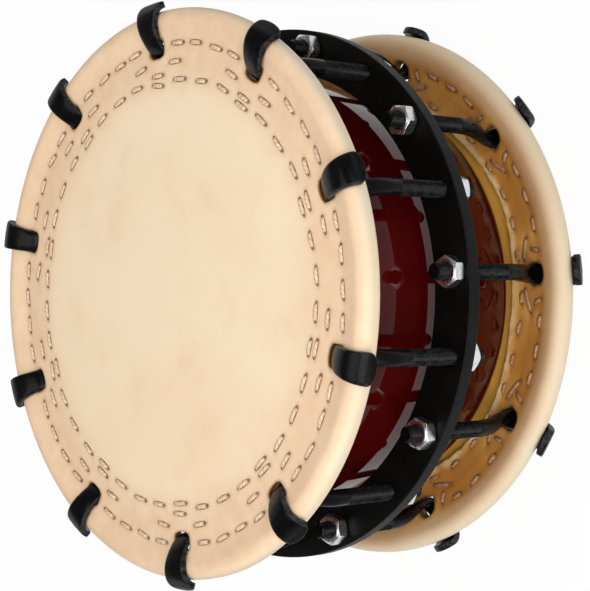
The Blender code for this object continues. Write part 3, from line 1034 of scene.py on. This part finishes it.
def hookPath(rodEnd, threadEnd):
    # in the hook's own plane: up the rod, in along the crank, up through the hole, and over the
    # rim on an arc whose centre moves outwards, with a straight tip
    thread = np.arange(rodEnd + hook["endChamfer"], threadEnd, hook["threadStep"])
    plain = np.linspace(threadEnd + hook["runOut"], hook["crankFrom"], hook["plainRows"])
    rodZ = np.concatenate([[rodEnd], thread, plain])
    rod = np.stack([np.zeros(len(rodZ)), rodZ], -1)
    low = np.array([0, hook["crankFrom"]])
    high = np.array([hook["crank"], hook["crankTo"]])
    lead = np.array([0, hook["lead"]])
    bend = np.linspace(0, 1, hook["bendRows"])[1:]
    crank = bezier([low, low + lead, high - lead / 2, high], bend)

    a = np.linspace(hook["arcFrom"], hook["arcTo"], hook["arcRows"])
    centreX = hook["ringOffset"] + hook["overhang"] * smoothStep(-a, -a[0], -hook["openTo"])
    over = hook["arcRadius"] * np.stack([np.cos(a), np.sin(a)], -1)
    over[:, 0] += centreX
    arriving = np.array([math.sin(a[0]), -math.cos(a[0])])
    reach = hook["approach"] * (over[0, 0] - high[0])
    climb = np.array([0, hook["rise"]])
    rise = bezier([high, high + climb, over[0] - arriving * reach, over[0]], bend)
    leaving = np.array([math.sin(a[-1]), -math.cos(a[-1])])
    tipShare = np.sin(np.linspace(0, math.pi / 2, hook["tipRows"]))[1:, None]
    tip = over[-1] + tipShare * hook["tipLength"] * leaving
    return np.concatenate([rod, crank, rise, over[1:], tip]), len(rod), len(rod) + len(crank)


def hookSurface(rodEnd, threadEnd, rng):
    # a section carried along the path: round with a helical thread on the rod, then a superellipse
    # that flattens to a bar, widens evenly to the claw and closes on the arc of its tip
    path, rodCount, rootCount = hookPath(rodEnd, threadEnd)
    s = np.concatenate([[0], np.cumsum(np.linalg.norm(np.diff(path, axis=0), axis=1))])
    tangent = np.gradient(path, s, axis=0)
    tangent /= np.linalg.norm(tangent, axis=1, keepdims=True)
    outward = np.stack([-tangent[:, 1], tangent[:, 0]], -1)

    rodRadius = hook["rodRadius"]
    crankStart = s[rodCount - 1]
    rootStart = s[rootCount - 1]
    toTip = s[-1] - s
    flat = np.clip((s - crankStart) / (rootStart - crankStart), 0, 1) ** 2
    claw = np.interp(s, [rootStart, s[-1] - hook["tipLength"]], [0, 1])
    root = hook["rootWidth"] / 2
    wide = hook["tipWidth"] / 2 * rng.uniform(*hook["widthSpread"])
    tipRound = hook["tipRound"] * rng.uniform(*hook["roundSpread"])
    sides = rodRadius + (root - rodRadius) * flat + (wide - root) * claw
    tip = np.sqrt(np.maximum(2 * tipRound * toTip - toTip**2, 1e-9))
    tip = np.where(toTip < tipRound, tip, tipRound * 4)   # too wide to matter past the tip
    corner = hook["cornerPower"]
    b = (sides**-corner + tip**-corner) ** (-1 / corner)
    end = hook["endRound"]
    over = np.clip(end - toTip, 0, end)
    a = rodRadius + (hook["thickness"] / 2 - rodRadius) * flat
    a = a - (end - np.sqrt(end**2 - over**2))
    shank = hook["shankSquare"]
    squared = flat * (shank + (1 - shank) * smoothStep(claw, *hook["squareEnds"]))
    power = 2 / (2 + hook["squareness"] * squared)

    turn = np.arange(hook["around"]) * fullTurn / hook["around"]
    c = np.cos(turn)
    d = np.sin(turn)
    p = a[:, None] * np.sign(c) * np.abs(c)[None, :] ** power[:, None]
    q = b[:, None] * np.sign(d) * np.abs(d)[None, :] ** power[:, None]
    width = np.abs(q) / b[:, None]
    p = p - (c > 0)[None, :] * flat[:, None] * hook["crown"] * width**2
    blows = hook["hammerWaves"]
    firstBlow = rng.uniform(0, hook["hammerPhase"], len(blows))
    hammered = hook["hammer"] * np.cos(np.multiply.outer(s, blows) + firstBlow).sum(1)
    p = p + (hammered * flat)[:, None] * np.sign(c)[None, :] * (1 - width)

    # thread: the ridge climbs one pitch each turn
    phase = (path[:, 1][:, None] / hook["pitch"] - turn[None, :] / fullTurn) % 1
    ridge = np.abs(2 * phase - 1)
    place = np.arange(len(s))
    threaded = (place < rodCount - hook["plainRows"]) & (place > 0)
    fade = smoothStep(threadEnd - path[:, 1], 0, hook["threadFade"] * hook["pitch"]) * threaded
    cut = np.clip(hook["threadFlank"] * (1 - ridge) - hook["threadCrest"], 0, 1) * fade[:, None]
    shrink = 1 - (hook["threadDepth"] / rodRadius) * cut
    shrink[0] = (rodRadius - hook["endChamfer"]) / rodRadius
    p = p * shrink
    q = q * shrink

    x = path[:, 0][:, None] + p * outward[:, 0][:, None]
    z = path[:, 1][:, None] + p * outward[:, 1][:, None]
    n = len(s)
    m = hook["around"]
    ends = [[0, 0, rodEnd], [path[-1, 0], 0, path[-1, 1]]]
    points = np.concatenate([np.stack([x, q, z], -1).reshape(-1, 3), ends])
    tris = np.concatenate([
        capTris(np.arange(m), n * m, True),
        capTris(np.arange(m) + (n - 1) * m, n * m + 1),
    ])
    quads, tris = outwards(points, gridQuads(n, m), tris)
    # lighter claw edges and thread crests, partly wear and partly painted highlight that draws out the
    # edges and the thread
    edgeWearAndSheen = smoothStep(width, *hook["edgeWearAndSheen"]) * flat[:, None] * hook["edgeWearShare"]
    crestWearAndSheen = smoothStep(ridge, *hook["crestWearAndSheen"]) * fade[:, None]
    wearAndSheen = np.append(np.maximum(edgeWearAndSheen, crestWearAndSheen).ravel(), [0, 0])
    return points, quads, tris, wearAndSheen


def buildHooks(side, seed):
    # ten hooks on the bolt circle, each with a width and a tip of its own
    rng = np.random.default_rng(seed)
    low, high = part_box(f"{side}_hook_01")
    ring = drum[f"{side}Ring"]
    rodEnd = low.z - ring if side == "top" else ring - high.z
    face = drum["flangeHigh"] - ring if side == "top" else ring - drum["flangeLow"]
    outToBolt = Matrix.Translation((drum["boltRadius"], 0, 0))
    for i in range(drum["hooks"]):
        points, quads, tris, wearAndSheen = hookSurface(rodEnd, face + hook["threadReach"], rng)
        place = sideFrame[side] @ Matrix.Rotation(i * hookStep, 4, "Z") @ outToBolt
        name = f"{side}_hook_{i + 1:02d}"
        piece = makePiece(f"{name}_bolt", moved(points, place), quads, tris, hook["sharp"])
        pointValues(piece, "wearAndSheen", wearAndSheen)
        dress(piece, name, "black_steel", hookBlack)
        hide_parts(name)
    print(side, "hooks:", len(points), "points each")


buildHooks("top", 3)
buildHooks("bottom", 5)


# nuts
nut = {
    "acrossFlats": 17 * mm,
    "turnedCorner": 9.62 * mm,   # the corners are turned down a little
    "faceRadius": 7.5 * mm,
    "countersink": 5.75 * mm,
    "bore": 5.15 * mm,
    "chamfer": math.tan(math.radians(30)),
    "edgeIn": 0.12 * mm,         # the edge between chamfer and flats is broken by a narrow row
    "edgeDrop": 0.06 * mm,
    "edgeRise": 0.15 * mm,
    "columns": 72,
    "sharp": 28,
}


def nutSurface(height):
    # radius against angle is a hexagon; the chamfer climbs as far as the hexagon stands out
    turn = np.arange(nut["columns"]) * fullTurn / nut["columns"]
    toFlat = (turn + math.pi / 6) % (math.pi / 3) - math.pi / 6
    hexagon = np.minimum(nut["acrossFlats"] / 2 / np.cos(toFlat), nut["turnedCorner"])
    climb = (hexagon - nut["faceRadius"]) * nut["chamfer"]
    flat = np.ones(len(turn))
    half = height / 2
    sink = nut["countersink"] - nut["bore"]
    lower = [
        (flat * nut["bore"], flat * (sink - half)),
        (flat * nut["countersink"], -flat * half),
        (flat * nut["faceRadius"], -flat * half),
        (hexagon - nut["edgeIn"], climb - half - nut["edgeDrop"]),
        (hexagon, climb - half + nut["edgeRise"]),
    ]
    upper = [(r, -z) for r, z in reversed(lower)]
    r = np.array([row[0] for row in lower + upper])
    z = np.array([row[1] for row in lower + upper])
    points = np.stack([r * np.cos(turn), r * np.sin(turn), z], -1).reshape(-1, 3)
    quads, _ = outwards(points, gridQuads(len(r), len(turn), closeRows=True))
    return points, quads


def buildNuts(side, seed):
    # ten nuts on the bolt circle, each stopped at its own angle
    rng = np.random.default_rng(seed)
    low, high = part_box(f"{side}_nut_01")
    ring = drum[f"{side}Ring"]
    middle = (low.z + high.z) / 2
    depth = middle - ring if side == "top" else ring - middle
    points, quads = nutSurface(high.z - low.z)
    outToBolt = Matrix.Translation((drum["boltRadius"], 0, depth))
    for i in range(drum["hooks"]):
        spun = Matrix.Rotation(rng.uniform(0, math.pi / 3), 4, "Z")
        place = sideFrame[side] @ Matrix.Rotation(i * hookStep, 4, "Z") @ outToBolt @ spun
        name = f"{side}_nut_{i + 1:02d}"
        piece = makePiece(f"{name}_hex", moved(points, place), quads, sharpAngle=nut["sharp"])
        dress(piece, name, "chrome", chrome)
        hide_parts(name)
    print(side, "nuts:", len(points), "points each")


buildNuts("top", 17)
buildNuts("bottom", 19)

for side in sideFrame:
    ringNode = nodes[f"{side}_head_ring"]
    ringNode.data.materials.clear()
    ringNode.data.materials.append(bareSteel)


# studio
studio = {
    "focal": 1752.0,             # pixels, in a frame 590 pixels wide
    "frameWidth": 590.0,
    "axisToBack": (0.73590, -0.00201, 0.67708),
    "left": (-0.67709, 0.0, 0.73590),
    "ringCentre": (-0.07341, -0.00112, 1.0631),
    "phase": 1.4908,
    "ambient": 0.37,             # what the room gives to plain surfaces
    "ceiling": 0.14,             # what the room shows in a reflection, above the backdrop
    "backdropEnds": (0.15, 0.55),
    "floorReach": 30.0,
    "floorLevel": -8.0 * mm,     # just under the claws when they are let right out
    # the paper round the drum glows brighter in reflections: a painted pool of light that fades out
    # between these distances
    "paperEnds": (0.26, 0.32),   # the lit paper round the drum, as reflections show it
    "dimPaper": 0.42,
    "target": (0, 0, 0.12),
    "paper": (0.86, 0.86, 0.86, 1),
    "glowShare": 0.96,           # of what the paper shows; the rest is its own shading
    "sensor": 36.0,
    "clipStart": 0.05,
    "lampRoll": (0.13, 0.4, 1.0),
    # lamps: place to the right, up and towards the eye of the target, size, power
    "lamps": {
        "key": ((0.15, 0.2, 1.2), (0.9, 0.9), 3.9),
        "fill": ((-0.9, -0.15, 1.0), (0.9, 1.2), 7.2),
        "front": ((0.1, -0.35, 1.3), (0.7, 0.7), 5.4),
        "low": ((0.5, -0.95, 0.7), (0.7, 0.5), 3.6),
    },
}


def placeCamera():
    # right, down and forward of the view against the drum: its axis, its first hook, its front ring
    back = np.array(studio["axisToBack"])
    back /= np.linalg.norm(back)
    left = np.array(studio["left"])
    left -= back * (left @ back)
    left /= np.linalg.norm(left)
    upward = np.cross(back, left)
    zAxis = -back
    xAxis = math.cos(studio["phase"]) * left + math.sin(studio["phase"]) * upward
    yAxis = np.cross(zAxis, xAxis)
    toView = np.stack([xAxis, yAxis, zAxis], -1)
    eye = np.array([0, 0, drum["topRing"]]) - toView.T @ np.array(studio["ringCentre"])
    pose = np.eye(4)
    pose[:3, 0] = toView.T @ [1, 0, 0]
    pose[:3, 1] = toView.T @ [0, -1, 0]
    pose[:3, 2] = toView.T @ [0, 0, -1]
    pose[:3, 3] = eye
    data = bpy.data.cameras.new("camera")
    data.sensor_fit = "HORIZONTAL"
    data.sensor_width = studio["sensor"]
    data.lens = studio["focal"] * data.sensor_width / studio["frameWidth"]
    data.clip_start = studio["clipStart"]
    camera = bpy.data.objects.new("camera", data)
    bpy.context.scene.collection.objects.link(camera)
    camera.matrix_world = Matrix(pose.tolist())
    bpy.context.scene.camera = camera
    return pose


def addLight(name, place, size, power):
    # a rectangle of light that faces the drum
    data = bpy.data.lights.new(name, "AREA")
    data.shape = "RECTANGLE"
    data.size, data.size_y = size
    data.energy = power
    light = bpy.data.objects.new(name, data)
    bpy.context.scene.collection.objects.link(light)
    away = np.array(place, float) - np.array(studio["target"], float)
    away /= np.linalg.norm(away)
    side = np.cross(studio["lampRoll"], away)
    side /= np.linalg.norm(side)
    axes = np.eye(4)
    axes[:3, 0] = side
    axes[:3, 1] = np.cross(away, side)
    axes[:3, 2] = away
    axes[:3, 3] = place
    light.matrix_world = Matrix(axes.tolist())


def shownRays(tree):
    # 1 for rays that show the background: from the camera, in a reflection or through glass
    path = tree.nodes.new("ShaderNodeLightPath")
    seen = path.outputs["Is Camera Ray"]
    glossy = path.outputs["Is Glossy Ray"]
    mirrored = combine(tree, "MAXIMUM", glossy, path.outputs["Is Transmission Ray"])
    return seen, combine(tree, "MAXIMUM", seen, mirrored)


def fadeNode(tree, value, start, end, first, last):
    # passes smoothly from the first value to the last between start and end
    ramp = tree.nodes.new("ShaderNodeMapRange")
    ramp.interpolation_type = "SMOOTHSTEP"
    for key, number in (("From Min", start), ("From Max", end), ("To Min", first), ("To Max", last)):
        ramp.inputs[key].default_value = number
    tree.links.new(value, ramp.inputs["Value"])
    return ramp.outputs["Result"]


def buildWorld():
    # white to the camera; in reflections a white backdrop that fades to a dim ceiling; and an even
    # soft light for everything else
    world = bpy.data.worlds.new("studio")
    bpy.context.scene.world = world
    world.use_nodes = True
    tree = world.node_tree
    seen, shown = shownRays(tree)
    coords = tree.nodes.new("ShaderNodeTexCoord")
    parts = tree.nodes.new("ShaderNodeSeparateXYZ")
    tree.links.new(coords.outputs["Generated"], parts.inputs[0])
    room = fadeNode(tree, parts.outputs["Z"], *studio["backdropEnds"], 1.0, studio["ceiling"])
    mirrored = combine(tree, "MAXIMUM", seen, room)
    shownPart = combine(tree, "MULTIPLY", shown, mirrored)
    softPart = combine(tree, "MULTIPLY", combine(tree, "SUBTRACT", 1.0, shown), studio["ambient"])
    light = tree.nodes["Background"]
    light.inputs["Color"].default_value = (1, 1, 1, 1)
    tree.links.new(combine(tree, "ADD", shownPart, softPart), light.inputs["Strength"])


def buildFloor():
    # pale paper that shows white, with a little of its own shading so the drum's shadow stays;
    # from below it is clear, so the lower head can be looked at
    material = bpy.data.materials.new("studio_floor")
    material.use_nodes = True
    tree = material.node_tree
    tree.nodes.remove(tree.nodes["Principled BSDF"])
    paper = addNode(tree, "ShaderNodeBsdfDiffuse", Color=studio["paper"])
    glow = addNode(tree, "ShaderNodeEmission", Color=(1, 1, 1, 1))
    mixed = tree.nodes.new("ShaderNodeMixShader")
    seen, shown = shownRays(tree)
    coords = tree.nodes.new("ShaderNodeTexCoord")
    distance = tree.nodes.new("ShaderNodeVectorMath")
    distance.operation = "LENGTH"
    tree.links.new(coords.outputs["Object"], distance.inputs[0])
    # a painted pool of light on the paper round the drum, seen in reflections
    lit = fadeNode(tree, distance.outputs["Value"], *studio["paperEnds"], 1.0, studio["dimPaper"])
    tree.links.new(combine(tree, "MAXIMUM", seen, lit), glow.inputs["Strength"])
    tree.links.new(combine(tree, "MULTIPLY", shown, studio["glowShare"]), mixed.inputs[0])
    tree.links.new(paper.outputs[0], mixed.inputs[1])
    tree.links.new(glow.outputs[0], mixed.inputs[2])
    below = tree.nodes.new("ShaderNodeNewGeometry").outputs["Backfacing"]
    clear = tree.nodes.new("ShaderNodeBsdfTransparent")
    sided = tree.nodes.new("ShaderNodeMixShader")
    tree.links.new(below, sided.inputs[0])
    tree.links.new(mixed.outputs[0], sided.inputs[1])
    tree.links.new(clear.outputs[0], sided.inputs[2])
    tree.links.new(sided.outputs[0], tree.nodes["Material Output"].inputs["Surface"])
    corners = np.array([[-1, -1, 0], [1, -1, 0], [1, 1, 0], [-1, 1, 0]]) * studio["floorReach"]
    corners[:, 2] = studio["floorLevel"]
    floor = makePiece("floor", corners, np.array([[0, 1, 2, 3]]))
    floor.data.materials.append(material)


def buildStudio():
    pose = placeCamera()
    bpy.context.scene.view_settings.view_transform = "Standard"
    buildWorld()
    buildFloor()
    for name, (offset, size, power) in studio["lamps"].items():
        addLight(name, studio["target"] + pose[:3, :3] @ offset, size, power)
    print("studio ready")


buildStudio()
